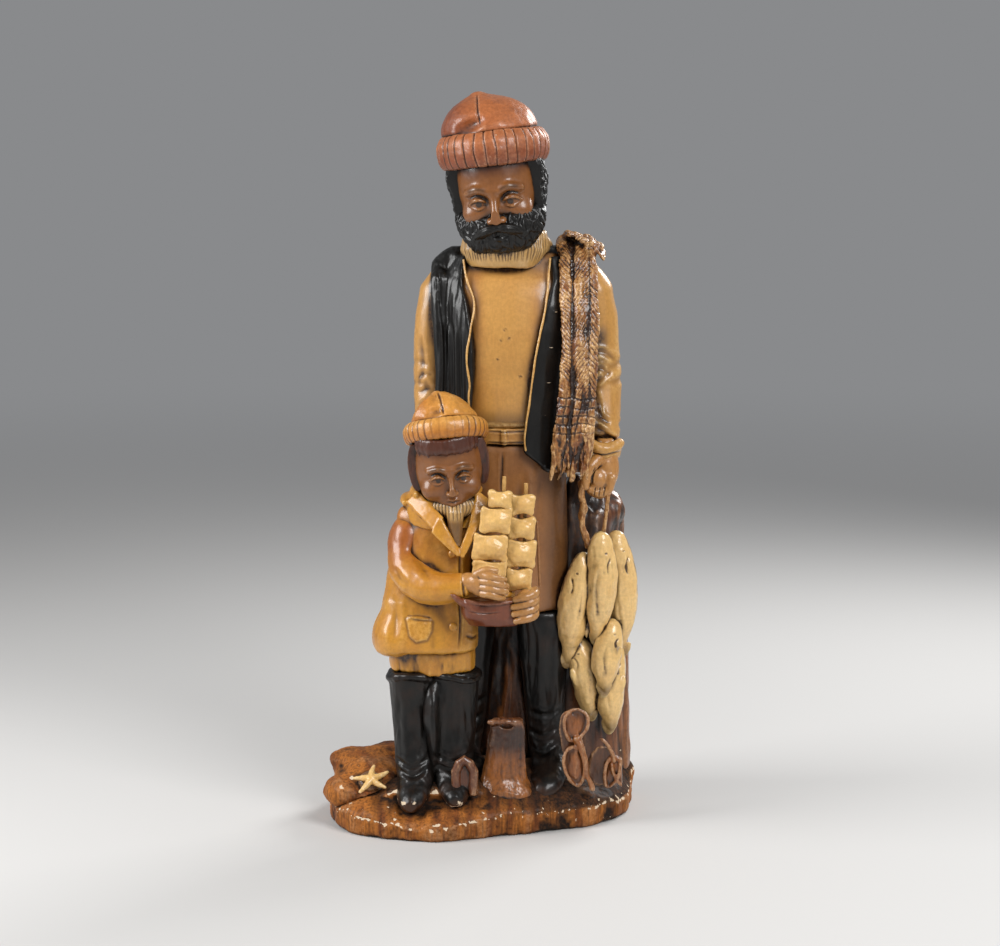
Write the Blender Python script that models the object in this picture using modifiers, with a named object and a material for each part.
"""Statuette of a fisherman and a boy on a rocky base, modelled in Blender as an assembly of carved pieces.

Run it with: blender --background --python part.py
+Z is up, the figures look along -Y, and the origin is on the underside of the base, below the middle of
the group. Every size below is in millimetres and becomes metres when a mesh is made. Left and right in
the names are the figures' own, so the man's left arm is at +X.

Each piece is made by a form: a function of grow, the distance in millimetres by which the shape is swelled
all round. The piece itself is the form at grow 0. Where two pieces meet, the one that gives way is cut
with its neighbour's form swelled by SEAM, which leaves the glue line between them.
"""

import math

import bmesh
import bpy
from mathutils import Euler, Matrix, Vector

# ---------------------------------------------------------------- driving dimensions (mm)
MM = 0.001
SEAM = 0.35  # glue line between touching pieces
BASE_EDGE = 12.0  # height of the base's rim
BASE_CROWN = 30.0  # height of the ground under the figures
WAIST = 226.0  # underside of the man's belt
BELT_HEIGHT = 9.0
BOY_X = -28.0  # the boy's centre line
BOY_Y = -37.0
BOOT_TOP = 124.0  # top of the man's boots, inside the trouser legs
HEM = 119.0  # lower edge of the man's trousers
VEST_THICKNESS = 3.0
SLEEVE_R = 12.5
SAIL_THICKNESS = 4.0
MAST_R = 1.0
CORD_R = 1.5
NET_FOLD_R = 3.8

# The heads hang forward and lean, and the caps are pushed back on them: pitch, roll and yaw in degrees.
MAN_HEAD_AT = (11.0, -5.0, 379.5)
MAN_HEAD_TURN = (-14.0, 7.0, -8.0)
MAN_CAP_AT = (8.0, -6.0, 399.5)
MAN_CAP_TURN = (0.0, 6.5, -8.0)
BOY_HEAD_AT = (-18.5, -42.0, 219.0)
BOY_HEAD_TURN = (-12.0, 6.0, 4.0)
BOY_CAP_AT = (-19.5, -42.0, 236.0)
BOY_CAP_TURN = (14.0, 4.8, 4.0)

COARSE, MEDIUM, FINE = 12, 16, 24  # sides of a ring
SPAN_STEPS = 2  # rings made between two stated sections


# ---------------------------------------------------------------- scene and materials
def clear_scene():
    for obj in list(bpy.data.objects):
        bpy.data.objects.remove(obj)


def new_collection(name):
    collection = bpy.data.collections.new(name)
    bpy.context.scene.collection.children.link(collection)
    return collection


def paint(name, colour, roughness):
    """A painted finish: a plain Principled material."""
    material = bpy.data.materials.new(name)
    material.use_nodes = True
    shader = material.node_tree.nodes["Principled BSDF"]
    shader.inputs["Base Color"].default_value = (*colour, 1.0)
    shader.inputs["Roughness"].default_value = roughness
    shader.inputs["Metallic"].default_value = 0.0
    return material


clear_scene()
FIGURINE = new_collection("fisherman_and_boy")
CUTTERS = new_collection("cutters")

GROUND = paint("ground_brown", (0.20, 0.07, 0.025), 0.55)
BARK = paint("bark_brown", (0.16, 0.055, 0.02), 0.5)
TAN = paint("knit_tan", (0.50, 0.31, 0.11), 0.45)
BLACK = paint("gloss_black", (0.012, 0.011, 0.010), 0.25)
CLOTH = paint("trouser_brown", (0.26, 0.11, 0.04), 0.5)
RUST = paint("cap_rust", (0.38, 0.13, 0.05), 0.5)
OCHRE = paint("coat_ochre", (0.55, 0.25, 0.035), 0.42)
SKIN = paint("skin_brown", (0.33, 0.14, 0.05), 0.4)
HAIR = paint("hair_brown", (0.13, 0.04, 0.02), 0.5)
ROPE = paint("net_brown", (0.30, 0.15, 0.06), 0.7)
FISH = paint("fish_cream", (0.62, 0.43, 0.20), 0.45)
SAIL = paint("sail_cream", (0.58, 0.38, 0.17), 0.5)
HULL = paint("hull_red_brown", (0.20, 0.06, 0.03), 0.4)


# ---------------------------------------------------------------- numbers
def between(a, b, c, d, t):
    """Catmull-Rom value at t between b and c."""
    return 0.5 * (2 * b + (c - a) * t + (2 * a - 5 * b + 4 * c - d) * t * t + (3 * b - a - 3 * c + d) * t**3)


def refined(rows, steps=SPAN_STEPS):
    """The rows with smooth rows added between them, steps to a span."""
    rows = [tuple(float(v) for v in row) for row in rows]
    made = []
    for i in range(len(rows) - 1):
        a = rows[max(i - 1, 0)]
        b, c = rows[i], rows[i + 1]
        d = rows[min(i + 2, len(rows) - 1)]
        for k in range(steps):
            made.append(tuple(between(*four, k / steps) for four in zip(a, b, c, d)))
    return [*made, rows[-1]]


def closed_curve(points, steps):
    """A smooth closed outline through the points, steps to a side."""
    count = len(points)
    made = []
    for i in range(count):
        four = [points[(i + k - 1) % count] for k in range(4)]
        for k in range(steps):
            made.append(tuple(between(*values, k / steps) for values in zip(*four)))
    return made


def row_at(rows, z):
    """The section of a loft at height z, between its stated sections."""
    for low, high in zip(rows, rows[1:]):
        if z <= high[2]:
            share = (z - low[2]) / (high[2] - low[2])
            return [a + (b - a) * share for a, b in zip(low, high)]
    return list(rows[-1])


# ---------------------------------------------------------------- meshes
def mesh_of(bm):
    """The bmesh as a closed mesh in metres with its faces outwards."""
    bmesh.ops.recalc_face_normals(bm, faces=bm.faces)
    bmesh.ops.scale(bm, vec=(MM, MM, MM), verts=bm.verts)
    mesh = bpy.data.meshes.new("form")
    bm.to_mesh(mesh)
    bm.free()
    return mesh


def evaluated_mesh(data, modify=None):
    """The mesh that Blender makes of a curve, or of a mesh with a modifier."""
    helper = bpy.data.objects.new("helper", data)
    CUTTERS.objects.link(helper)
    if modify:
        modify(helper)
    bpy.context.view_layer.update()
    graph = bpy.context.evaluated_depsgraph_get()
    mesh = bpy.data.meshes.new_from_object(helper.evaluated_get(graph))
    bpy.data.objects.remove(helper)
    return mesh


def skin_rings(bm, rings):
    """Faces between rings of points, and one cap at each end."""
    loops = [[bm.verts.new(point) for point in ring] for ring in rings]
    count = len(loops[0])
    for low, high in zip(loops, loops[1:]):
        for i in range(count):
            j = (i + 1) % count
            bm.faces.new((low[i], low[j], high[j], high[i]))
    bm.faces.new(loops[0][::-1])
    bm.faces.new(loops[-1])


def oval(x, y, z, rx, ry, power, sides):
    """A level superellipse: power 2 is an ellipse, and more is squarer. It starts at the front, -Y."""
    ring = []
    for i in range(sides):
        angle = 2 * math.pi * i / sides
        s, c = math.sin(angle), math.cos(angle)
        across = math.copysign(abs(s) ** (2 / power), s)
        along = math.copysign(abs(c) ** (2 / power), c)
        ring.append((x + rx * across, y - ry * along, z))
    return ring


# ---------------------------------------------------------------- forms
def loft(rows, sides=MEDIUM, power=2.3):
    """A form through level oval sections, each (x, y, z, half width, half depth), from the bottom up."""

    def form(grow):
        sections = refined(rows)
        last = len(sections) - 1
        bm = bmesh.new()
        rings = []
        for i, (x, y, z, rx, ry) in enumerate(sections):
            lift = -grow if i == 0 else grow if i == last else 0.0
            rings.append(oval(x, y, z + lift, rx + grow, ry + grow, power, sides))
        skin_rings(bm, rings)
        return mesh_of(bm)

    return form


def slab(outline, centre, levels):
    """A form of one outline at several heights, each level (height, scale about the centre)."""

    def form(grow):
        bm = bmesh.new()
        reach = max(math.dist(point, centre) for point in outline)
        rings = []
        for i, (z, scale) in enumerate(levels):
            lift = -grow if i == 0 else grow
            swell = scale * (1 + grow / reach)
            rings.append(
                [
                    (centre[0] + (x - centre[0]) * swell, centre[1] + (y - centre[1]) * swell, z + lift)
                    for x, y in outline
                ]
            )
        skin_rings(bm, rings)
        return mesh_of(bm)

    return form


def limb(rows, resolution=4, steps=2):
    """A form along a path of points (x, y, z, radius): a curve with a round bevel and filled caps."""

    def form(grow):
        points = refined(rows, steps)
        curve = bpy.data.curves.new("limb", "CURVE")
        curve.dimensions = "3D"
        curve.bevel_depth = MM
        curve.bevel_resolution = resolution
        curve.use_fill_caps = True
        spline = curve.splines.new("POLY")
        spline.points.add(len(points) - 1)
        for target, (x, y, z, radius) in zip(spline.points, points):
            target.co = (x * MM, y * MM, z * MM, 1.0)
            target.radius = radius + grow
        for end, inner in ((0, 1), (-1, -2)):
            outward = (spline.points[end].co - spline.points[inner].co).to_3d().normalized()
            spline.points[end].co += (outward * grow * MM).to_4d() * Vector((1, 1, 1, 0))
        mesh = evaluated_mesh(curve)
        bpy.data.curves.remove(curve)
        bm = bmesh.new()
        bm.from_mesh(mesh)
        bmesh.ops.remove_doubles(bm, verts=bm.verts, dist=MM / 100)
        bmesh.ops.recalc_face_normals(bm, faces=bm.faces)
        bm.to_mesh(mesh)
        bm.free()
        return mesh

    return form


def blob(centre, radii, turn=(0, 0, 0), segments=MEDIUM):
    """A form that is an ellipsoid, turned by the Euler angles in degrees."""

    def form(grow):
        bm = bmesh.new()
        bmesh.ops.create_uvsphere(bm, u_segments=segments, v_segments=segments // 2, radius=1.0)
        size = Matrix.Diagonal([r + grow for r in radii]).to_4x4()
        rotation = Euler([math.radians(a) for a in turn]).to_matrix().to_4x4()
        bmesh.ops.transform(bm, matrix=Matrix.Translation(centre) @ rotation @ size, verts=bm.verts)
        return mesh_of(bm)

    return form


def plate(centre, size, turn=(0, 0, 0), bevel=1.0):
    """A form that is a flat block with rounded edges, turned by the Euler angles in degrees."""

    def form(grow):
        bm = bmesh.new()
        bmesh.ops.create_cube(bm, size=1.0)
        bmesh.ops.scale(bm, vec=[side + 2 * grow for side in size], verts=bm.verts)
        bmesh.ops.bevel(bm, geom=bm.edges, offset=bevel, segments=2, profile=0.5, affect="EDGES")
        rotation = Euler([math.radians(a) for a in turn]).to_matrix().to_4x4()
        bmesh.ops.transform(bm, matrix=Matrix.Translation(centre) @ rotation, verts=bm.verts)
        return mesh_of(bm)

    return form


def wrap(rows, start, end, thickness, power=2.3, columns=26, levels=9):
    """A form of cloth around lofted sections: an open sheet from angle start(share) to end(share), thickened.

    Angles are in degrees from the front, positive towards +X, and share runs from 0 at the hem to 1 at the top.
    """

    def form(grow):
        bottom, top = rows[0][2] - grow, rows[-1][2] + grow
        sections = refined(rows)
        bm = bmesh.new()
        grid = []
        for level in range(levels + 1):
            share = level / levels
            z = bottom + (top - bottom) * share
            x, y, _, rx, ry = row_at(sections, z)
            edge = math.degrees(grow / rx)
            line = []
            for column in range(columns + 1):
                low, high = start(share) - edge, end(share) + edge
                angle = math.radians(low + (high - low) * column / columns)
                s, c = math.sin(angle), math.cos(angle)
                across = math.copysign(abs(s) ** (2 / power), s)
                along = math.copysign(abs(c) ** (2 / power), c)
                line.append(bm.verts.new((x + (rx - grow) * across, y - (ry - grow) * along, z)))
            grid.append(line)
        for low, high in zip(grid, grid[1:]):
            for i in range(columns):
                bm.faces.new((low[i], low[i + 1], high[i + 1], high[i]))
        bmesh.ops.scale(bm, vec=(MM, MM, MM), verts=bm.verts)
        sheet = bpy.data.meshes.new("sheet")
        bm.to_mesh(sheet)
        bm.free()

        def thicken(obj):
            solidify = obj.modifiers.new("thickness", "SOLIDIFY")
            solidify.thickness = (thickness + 2 * grow) * MM
            solidify.offset = 1.0

        return evaluated_mesh(sheet, thicken)

    return form


def star(centre, tip, waist, thickness, turn, points=5):
    """A form that is a flat star: a filled 2D curve, extruded by half its thickness each way."""

    def form(grow):
        curve = bpy.data.curves.new("star", "CURVE")
        curve.dimensions = "2D"
        curve.fill_mode = "BOTH"
        curve.extrude = (thickness / 2 + grow) * MM
        spline = curve.splines.new("POLY")
        spline.use_cyclic_u = True
        corners = 2 * points
        outline = []
        for i in range(corners):
            radius = (tip, waist)[i % 2] + grow
            angle = 2 * math.pi * i / corners
            for side in (-1, 1) if i % 2 == 0 else (0,):
                blunt = side * 0.16 * waist / radius
                outline.append((radius * math.cos(angle + blunt), radius * math.sin(angle + blunt)))
        spline.points.add(len(outline) - 1)
        for point, (x, y) in zip(spline.points, outline):
            point.co = (x * MM, y * MM, 0.0, 1.0)
        mesh = evaluated_mesh(curve)
        bpy.data.curves.remove(curve)
        bm = bmesh.new()
        bm.from_mesh(mesh)
        bmesh.ops.remove_doubles(bm, verts=bm.verts, dist=MM / 100)
        rotation = Euler([math.radians(a) for a in turn]).to_matrix().to_4x4()
        place = Matrix.Translation([v * MM for v in centre]) @ rotation
        bmesh.ops.transform(bm, matrix=place, verts=bm.verts)
        bmesh.ops.recalc_face_normals(bm, faces=bm.faces)
        bm.to_mesh(mesh)
        bm.free()
        return mesh

    return form


# ---------------------------------------------------------------- assembly
FORMS = {}


def pivot(name, place, turn):
    """An empty that carries a tilted head and everything on it."""
    empty = bpy.data.objects.new(name, None)
    empty.location = [v * MM for v in place]
    empty.rotation_euler = [math.radians(-turn[0]), math.radians(-turn[1]), math.radians(turn[2])]
    FIGURINE.objects.link(empty)
    return empty


def add(name, form, material, cut_by=(), parent=None):
    """One piece of the assembly, cut by its neighbours' forms swelled by the seam."""
    mesh = form(0.0)
    mesh.name = name
    mesh.shade_smooth()
    mesh.set_sharp_from_angle(angle=math.radians(50))
    piece = bpy.data.objects.new(name, mesh)
    piece.data.materials.append(material)
    piece.parent = parent
    FIGURINE.objects.link(piece)
    FORMS[name] = (form, parent)
    for neighbour in cut_by:
        boolean = piece.modifiers.new("clear_" + neighbour, "BOOLEAN")
        boolean.operation = "DIFFERENCE"
        boolean.solver = "EXACT"
        boolean.object = cutter(neighbour)
    return piece


def cutter(name):
    """The swelled form of a piece, made once and hidden."""
    found = CUTTERS.objects.get("cut_" + name)
    if found:
        return found
    form, parent = FORMS[name]
    made = bpy.data.objects.new("cut_" + name, form(SEAM))
    made.parent = parent
    made.hide_render = True
    made.display_type = "WIRE"
    CUTTERS.objects.link(made)
    return made


# ---------------------------------------------------------------- ground
BASE_OUTLINE = closed_curve(
    [
        (-90, -28), (-80, -56), (-55, -72), (-24, -78), (4, -68), (32, -60), (62, -46), (84, -27),
        (91, 2), (90, 36), (66, 54), (26, 58), (-16, 52), (-54, 44), (-80, 24), (-89, -2),
    ],
    2,
)
BASE_CENTRE = (2.0, -10.0)


def build_ground():
    levels = [
        (0, 0.975), (2, 0.995), (BASE_EDGE, 1.0), (15, 0.97), (20, 0.86), (25, 0.70), (28, 0.5), (BASE_CROWN, 0.25),
    ]
    add("base", slab(BASE_OUTLINE, BASE_CENTRE, levels), GROUND)
    add("rock_mound", blob((-64, -22, 20), (24, 36, 16.5), (12, 4, 8)), GROUND, ["base"])
    add("starfish", star((-65, -45, 30), 11.5, 4.2, 2.6, (26, -4, 14)), FISH, ["rock_mound", "base"])


# ---------------------------------------------------------------- the man
SWEATER_ROWS = [
    (17, 2, WAIST + BELT_HEIGHT + SEAM, 33, 21.5),
    (18, 1, 262, 35, 23.5),
    (20, 1, 290, 37.5, 24),
    (22, 3.5, 315, 41.5, 22.5),
    (22, 6, 328, 39.5, 18),
    (20, 6, 338, 27.5, 14.5),
]
VEST_ROWS = [
    (17, 2, 210, 38.6, 25.6),
    (17, 2, 235, 36.4, 24.6),
    (18, 1, 262, 36.2, 24.8),
    (20, 1, 290, 38.5, 25.2),
    (22, 3.5, 315, 42.6, 23.7),
    (22, 6, 328, 40.6, 19.2),
    (20.5, 6, 335, 33.5, 17),
]


def build_man_legs():
    left = [
        (42, -22, 12, 11.5, 26), (42, -21, 26, 11.0, 25), (41, -13, 35, 10.5, 18), (40, -5, 45, 10.5, 12),
        (39, -3, 75, 12.5, 13), (38, -1, 105, 15, 15.5), (37, 0, BOOT_TOP, 15.5, 16),
    ]
    right = [(x * -1 + 31, y + 8, z, rx, ry) for x, y, z, rx, ry in left]
    add("man_boot_left", loft(left), BLACK, ["base"])
    add("man_boot_right", loft(right), BLACK, ["base"])
    trousers = [(16, 1, HEM, 37.5, 19.5), (16, 1, 150, 37.5, 21.5), (16, 2, 190, 36.5, 22.5), (17, 2, WAIST - SEAM, 34, 22)]
    add("man_trousers", loft(trousers, FINE, 2.6), CLOTH, ["man_boot_left", "man_boot_right"])
    belt = [(17, 2, WAIST, 35, 23), (17, 2, WAIST + BELT_HEIGHT, 34.5, 22.7)]
    add("man_belt", loft(belt, FINE), TAN)
    trunk = [
        (36, 26, 14, 57, 27), (38, 27, 60, 53.5, 25), (42, 28, 105, 48, 23), (54, 27, 140, 35, 20),
        (63, 25, 165, 24, 17), (66, 22, 186, 19.5, 14), (62, 19, 200, 13, 11),
    ]
    legs = ["man_boot_left", "man_boot_right", "man_trousers"]
    add("stump", loft(trunk, FINE), BARK, ["base", *legs])
    stub = [(14, -42, 14, 16, 9), (15, -42, 40, 12, 7.5), (16.5, -42, 65, 9.5, 6.5)]
    add("driftwood_stub", loft(stub, COARSE), BARK, ["base", "man_boot_left"])


def build_man_torso():
    add("man_sweater", loft(SWEATER_ROWS, FINE), TAN)
    vest = wrap(VEST_ROWS, left_vest_edge, right_vest_edge, VEST_THICKNESS)
    add("man_vest", vest, BLACK, ["man_sweater", "man_belt", "man_trousers"])


def left_vest_edge(share):
    """Angle of the vest's left edge. It runs out to the shoulder near the top."""
    return 10 + 14 * share + 11 * share**10


def right_vest_edge(share):
    """Angle of the vest's right edge, measured the long way round the back from the left edge."""
    return 360 - 41 + 9 * math.sin(3 * share) - 14 * share**4


def build_man_arms():
    clear = VEST_THICKNESS + SEAM
    outside = [(x, y, z, rx + clear, ry + clear) for x, y, z, rx, ry in VEST_ROWS]
    FORMS["torso_outside"] = (loft(outside, FINE), None)
    body = ["torso_outside"]
    right = [
        (-14, 8, 324, 12), (-24, 8, 313, SLEEVE_R), (-27, 8, 285, SLEEVE_R), (-28, 7, 255, 12), (-29.5, 0, 230, 10.5),
        (-31, -9, 206, 9),
    ]
    left = [
        (56, 8, 325, 12), (67, 8, 314, 13.5), (69.5, 7, 285, 13), (72, 5, 256, 13), (72.5, -2, 236, 11.5),
        (72.5, -8, 226.5, 10.5),
    ]
    add("man_sleeve_right", limb(right), TAN, body)
    add("man_sleeve_left", limb(left), TAN, body)
    cuff = [(72.5, -8.5, 216.5, 11, 10.5), (72.5, -8, 226, 12, 11.5)]
    add("man_cuff_left", loft(cuff, MEDIUM, 2.0), TAN, ["man_sleeve_left", "man_trousers", "man_vest"])
    hand = [(70, -12, 193, 6, 6), (70.5, -13, 200, 8.5, 8), (71, -12, 208, 8.5, 7.5), (72, -10, 216, 6.5, 6.5)]
    add("man_hand_left", loft(hand, COARSE, 2.0), SKIN, ["man_vest", "man_trousers"])


def build_man_head():
    head = pivot("man_head_pivot", MAN_HEAD_AT, MAN_HEAD_TURN)
    skull = [
        (1, 8, -46, 13, 13), (0, 6, -33, 15, 15), (0, -1, -27, 18, 21), (0, -1, -11, 23.5, 27), (0, 0, 8, 24.5, 28),
        (0, 1, 22, 21, 25), (0, 2, 31, 12, 14),
    ]
    add("man_head", loft(skull, MEDIUM, 2.1), SKIN, ["man_sweater"], head)
    cap = pivot("man_cap_pivot", MAN_CAP_AT, MAN_CAP_TURN)
    cuff = [(0, 0, -10, 30, 32.5), (0, 0, -6, 32.5, 35), (0, 0, 4, 33, 35.5), (0, 0, 9.5, 29.5, 32)]
    crown = [
        (-0.5, 0, 7.5, 28.5, 31), (-1, 0.5, 14, 26.5, 28.5), (-3, 1, 22, 19.5, 21.5), (-5, 1.5, 28, 11, 12.5),
        (-5.5, 2, 31.5, 4, 4.5),
    ]
    add("man_cap_cuff", loft(cuff, FINE, 2.0), RUST, ["man_head"], cap)
    add("man_cap_crown", loft(crown, MEDIUM, 2.0), RUST, ["man_head", "man_cap_cuff"], cap)
    on_head = ["man_head", "man_cap_cuff", "man_cap_crown"]
    add("man_hair", blob((0, 5, -2), (28.5, 25, 26)), BLACK, [*on_head, "man_sweater"], head)
    add("man_beard", blob((1, -14, -21), (24, 17.5, 17)), BLACK, [*on_head, "man_hair", "man_sweater"], head)
    collar = [(15, 0, 330, 22.5, 20), (15, -1, 340, 26, 21.5), (15.5, 0, 351, 24.5, 21)]
    around = ["man_head", "man_hair", "man_beard", "man_sweater", "man_vest"]
    add("man_collar", loft(collar, FINE, 2.0), TAN, around)


def build_net_and_fish():
    path = [(30, 262), (31, 300), (26, 330), (8, 344.5), (-14, 333), (-27, 305), (-31, 268), (-31, 235), (-27, 211)]
    lean = [0.0, 0.0, -1.0, -2.0, -1.0, 0.0, -0.5, -3.0, -6.0]
    under = [
        "man_sweater", "man_vest", "man_sleeve_left", "man_collar", "man_cuff_left", "man_trousers", "man_belt",
        "man_hair", "man_hand_left",
    ]
    folds = (("net_fold_inner", 51.5), ("net_fold_middle", 58.7), ("net_fold_outer", 65.9))
    for name, x in folds:
        rows = [(x + shift, y, z, NET_FOLD_R) for (y, z), shift in zip(path, lean)]
        others = [fold for fold, _ in folds if fold in FORMS]
        add(name, limb(rows, 3, 2), ROPE, [*under, *others])
    spindles = {
        "fish_front": ((71, -20, 139), 31, 9.2, (5, 3)),
        "fish_left": ((57, -15, 125), 32, 9.4, (4, 6)),
        "fish_right": ((84, -7, 134), 35, 8.8, (0, -2)),
        "fish_middle": ((77, -19, 96), 20, 8.2, (-6, 8)),
        "fish_lower_left": ((64, -10, 79), 25, 8.6, (-2, -7)),
        "fish_lower_right": ((80, -9, 76), 24, 8.4, (-6, 2)),
    }
    behind = ["stump", "man_boot_left", "man_trousers", "man_hand_left"]
    for name, (at, half, radius, (pitch, roll)) in spindles.items():
        others = [fish for fish in spindles if fish in FORMS]
        add(name, blob(at, (radius, radius * 0.85, half), (pitch, roll, 0), 16), FISH, [*behind, *others])
    loop = [(74, -19, 165), (76, -20, 184), (77, -22, 199), (71, -22.5, 209), (64, -22, 199), (62.5, -20, 184), (67, -19.5, 165)]
    cord = limb([(*point, CORD_R) for point in loop], 2)
    add("fish_cord", cord, ROPE, ["man_hand_left", "stump", *list(spindles)])


# ---------------------------------------------------------------- the boy
def build_boy():
    right = [
        (-37, -51, 12, 10.5, 17), (-37, -49, 25, 10.5, 16.5), (-38, -42, 36, 11.5, 13), (-39, -38, 60, 12.7, 13),
        (-40, -37, 86, 13.7, 14), (-40, -37, 94, 14.6, 15),
    ]
    left = [(2 * BOY_X - x + 1.5, y + 3, z, rx, ry) for x, y, z, rx, ry in right]
    others = ["man_boot_right", "man_trousers", "stump"]
    add("boy_boot_right", loft(right), BLACK, ["base", *others])
    add("boy_boot_left", loft(left), BLACK, ["base", "boy_boot_right", "driftwood_stub", *others])
    trousers = [(BOY_X, BOY_Y, 88, 24.5, 14), (BOY_X, BOY_Y, 107, 25.5, 16)]
    add("boy_trousers", loft(trousers), OCHRE, ["boy_boot_right", "boy_boot_left", *others])
    coat = [
        (-31, -38, 107.5, 30, 22.5), (-31, -38, 116, 29.5, 22), (-28.5, -37, 142, 27, 20.5), (-26, -36.5, 164, 26, 19),
        (-24, -37, 178, 24, 16.5), (-21.5, -39, 187, 18, 13),
    ]
    add("boy_coat", loft(coat, FINE), OCHRE, ["boy_trousers", "man_boot_right", "man_trousers"])
    head = pivot("boy_head_pivot", BOY_HEAD_AT, BOY_HEAD_TURN)
    skull = [
        (0, 4, -33, 10, 10), (0, 2, -25, 12, 13), (0, -1, -17, 17, 18), (0, -1, -6, 20.5, 20.5), (0, 0, 6, 20.5, 21),
        (0, 1, 18, 17.5, 19), (0, 1, 25, 10, 11),
    ]
    add("boy_head", loft(skull, MEDIUM, 2.1), SKIN, ["boy_coat", "man_trousers"], head)
    cap = pivot("boy_cap_pivot", BOY_CAP_AT, BOY_CAP_TURN)
    cuff = [(0, 0, -6, 22.5, 23), (0, 0, -3, 24.6, 25), (0, 0, 3, 24.6, 25), (0, 0, 6, 22, 22.5)]
    crown = [
        (0, 0.5, 4.5, 21, 21.5), (0, 0, 10, 18.5, 19), (-1, -1, 16, 12, 12.5), (-2, -1.5, 20.5, 6.5, 7),
        (-2.2, -1.5, 23, 2.5, 3),
    ]
    near = ["man_trousers", "man_belt", "man_sweater", "man_vest", "man_sleeve_right"]
    add("boy_cap_cuff", loft(cuff, MEDIUM, 2.0), OCHRE, ["boy_head", *near], cap)
    add("boy_cap_crown", loft(crown, MEDIUM, 2.0), OCHRE, ["boy_head", "boy_cap_cuff", *near], cap)
    hair = blob((0, 4.5, 1), (22.3, 21.5, 20))
    add("boy_hair", hair, HAIR, ["boy_head", "boy_cap_cuff", "boy_cap_crown", "boy_coat", *near], head)
    knit = [(-17.5, -42, 188.6, 13, 12), (-17.5, -43, 197, 13.5, 12.5)]
    add("boy_knit_neck", loft(knit, MEDIUM, 2.0), TAN, ["boy_head", "boy_coat", "boy_hair", "man_trousers"])
    collar = [(-21, -38, 181, 24.5, 18), (-21, -39.5, 189, 22.5, 17), (-21, -40.5, 197, 20, 15.5)]
    inside = ["boy_coat", "boy_knit_neck", "boy_head", "boy_hair", "man_trousers", "man_sleeve_right"]
    add("boy_coat_collar", loft(collar, MEDIUM, 2.0), OCHRE, inside)


def build_boy_arms_and_ship():
    behind = ["boy_coat", "boy_coat_collar", "man_trousers", "man_sleeve_right"]
    right = [
        (-41, -36, 179, 8.5), (-43, -42, 168, 10.6), (-41.5, -51, 156, 11.6), (-31, -61, 148.5, 11), (-18, -67.5, 148.5, 9.2),
        (-6, -71, 152, 6.3),
    ]
    add("boy_sleeve_right", limb(right), OCHRE, behind)
    left = [(-6, -36, 172, 8.5), (1, -42, 160, 9), (8, -50, 146, 8.4), (17, -56, 138, 6.6)]
    add("boy_sleeve_left", limb(left), OCHRE, [*behind, "boy_sleeve_right"])
    hull = [(8, -64, 126, 14, 5), (9, -65, 131, 18, 7), (9.5, -65, 138, 20.5, 8), (9.5, -65, 141.5, 21, 8)]
    clear = ["boy_sleeve_right", "boy_sleeve_left", "boy_coat"]
    add("ship_hull", loft(hull, MEDIUM, 1.8), HULL, clear)
    right_hand = blob((5.5, -75, 152.5), (10, 6.5, 8.5), (0, -8, 0), 16)
    left_hand = blob((24.5, -64, 138), (8, 8.5, 10), (0, 10, 0), 16)
    add("boy_hand_right", right_hand, SKIN, ["boy_sleeve_right", "ship_hull"])
    add("boy_hand_left", left_hand, SKIN, ["boy_sleeve_left", "ship_hull", "man_trousers"])
    masts = {"ship_mast_fore": (14.5, -57.5, 212.0), "ship_mast_main": (27.0, -54.0, 207.5)}
    for name, (x, y, top) in masts.items():
        rows = [(x - 1.5, y, 142.2, MAST_R), (x, y, top, MAST_R)]
        add(name, limb(rows, 2, 1), HULL, ["boy_hand_left", "boy_sleeve_left", "boy_coat"])
    sails = {
        "sail_fore_1": (12.0, 199.2, 12.0, 9.0), "sail_fore_2": (9.6, 187.0, 16.0, 13.5),
        "sail_fore_3": (6.2, 171.2, 18.0, 13.8), "sail_fore_4": (5.6, 155.5, 17.5, 14.0),
        "sail_main_1": (24.8, 195.6, 12.4, 11.0), "sail_main_2": (24.6, 182.0, 13.4, 11.6),
        "sail_main_3": (24.0, 166.8, 15.0, 14.6), "sail_main_4": (22.6, 151.5, 13.4, 12.4),
    }
    for name, (x, z, width, height) in sails.items():
        mast = masts["ship_mast_fore" if "fore" in name else "ship_mast_main"]
        y = mast[1] - MAST_R - SEAM - SAIL_THICKNESS / 2
        form = plate((x, y, z), (width, SAIL_THICKNESS, height), (0, 5, 0), 1.4)
        hands = ["boy_hand_right", "boy_hand_left", "boy_sleeve_right", "boy_sleeve_left"]
        add(name, form, SAIL, [*hands, "boy_coat", "boy_coat_collar"])
    resting = blob((-33, -15, 189), (8.5, 6, 14), (18, 0, 0), 16)
    add("man_hand_right", resting, SKIN, ["man_sleeve_right", "boy_coat", "boy_coat_collar", "boy_hair", "boy_sleeve_right"])


def build_seaweed():
    near = ["base", "man_boot_left", "stump", "fish_lower_left", "fish_lower_right"]
    leaves = {
        "kelp_tall": blob((55, -40, 48), (7, 4, 23), (6, -12, 0), COARSE),
        "kelp_heart": blob((72, -36, 35), (8.5, 4.5, 13), (6, 14, -20), COARSE),
    }
    for name, form in leaves.items():
        others = [leaf for leaf in leaves if leaf in FORMS]
        add(name, form, BARK, [*near, *others])
    curl = [(-13, -60, 24, 2.6), (-14, -60, 38, 2.6), (-9, -60, 45, 2.8), (-3.5, -60, 38, 2.6), (-4, -60, 24, 2.4)]
    add("kelp_curl", limb(curl, 2, 2), BARK, ["base", "boy_boot_left", "boy_boot_right"])


build_ground()
build_man_legs()
build_man_torso()
build_man_arms()
build_man_head()
build_boy()
build_net_and_fish()
build_boy_arms_and_ship()
build_seaweed()
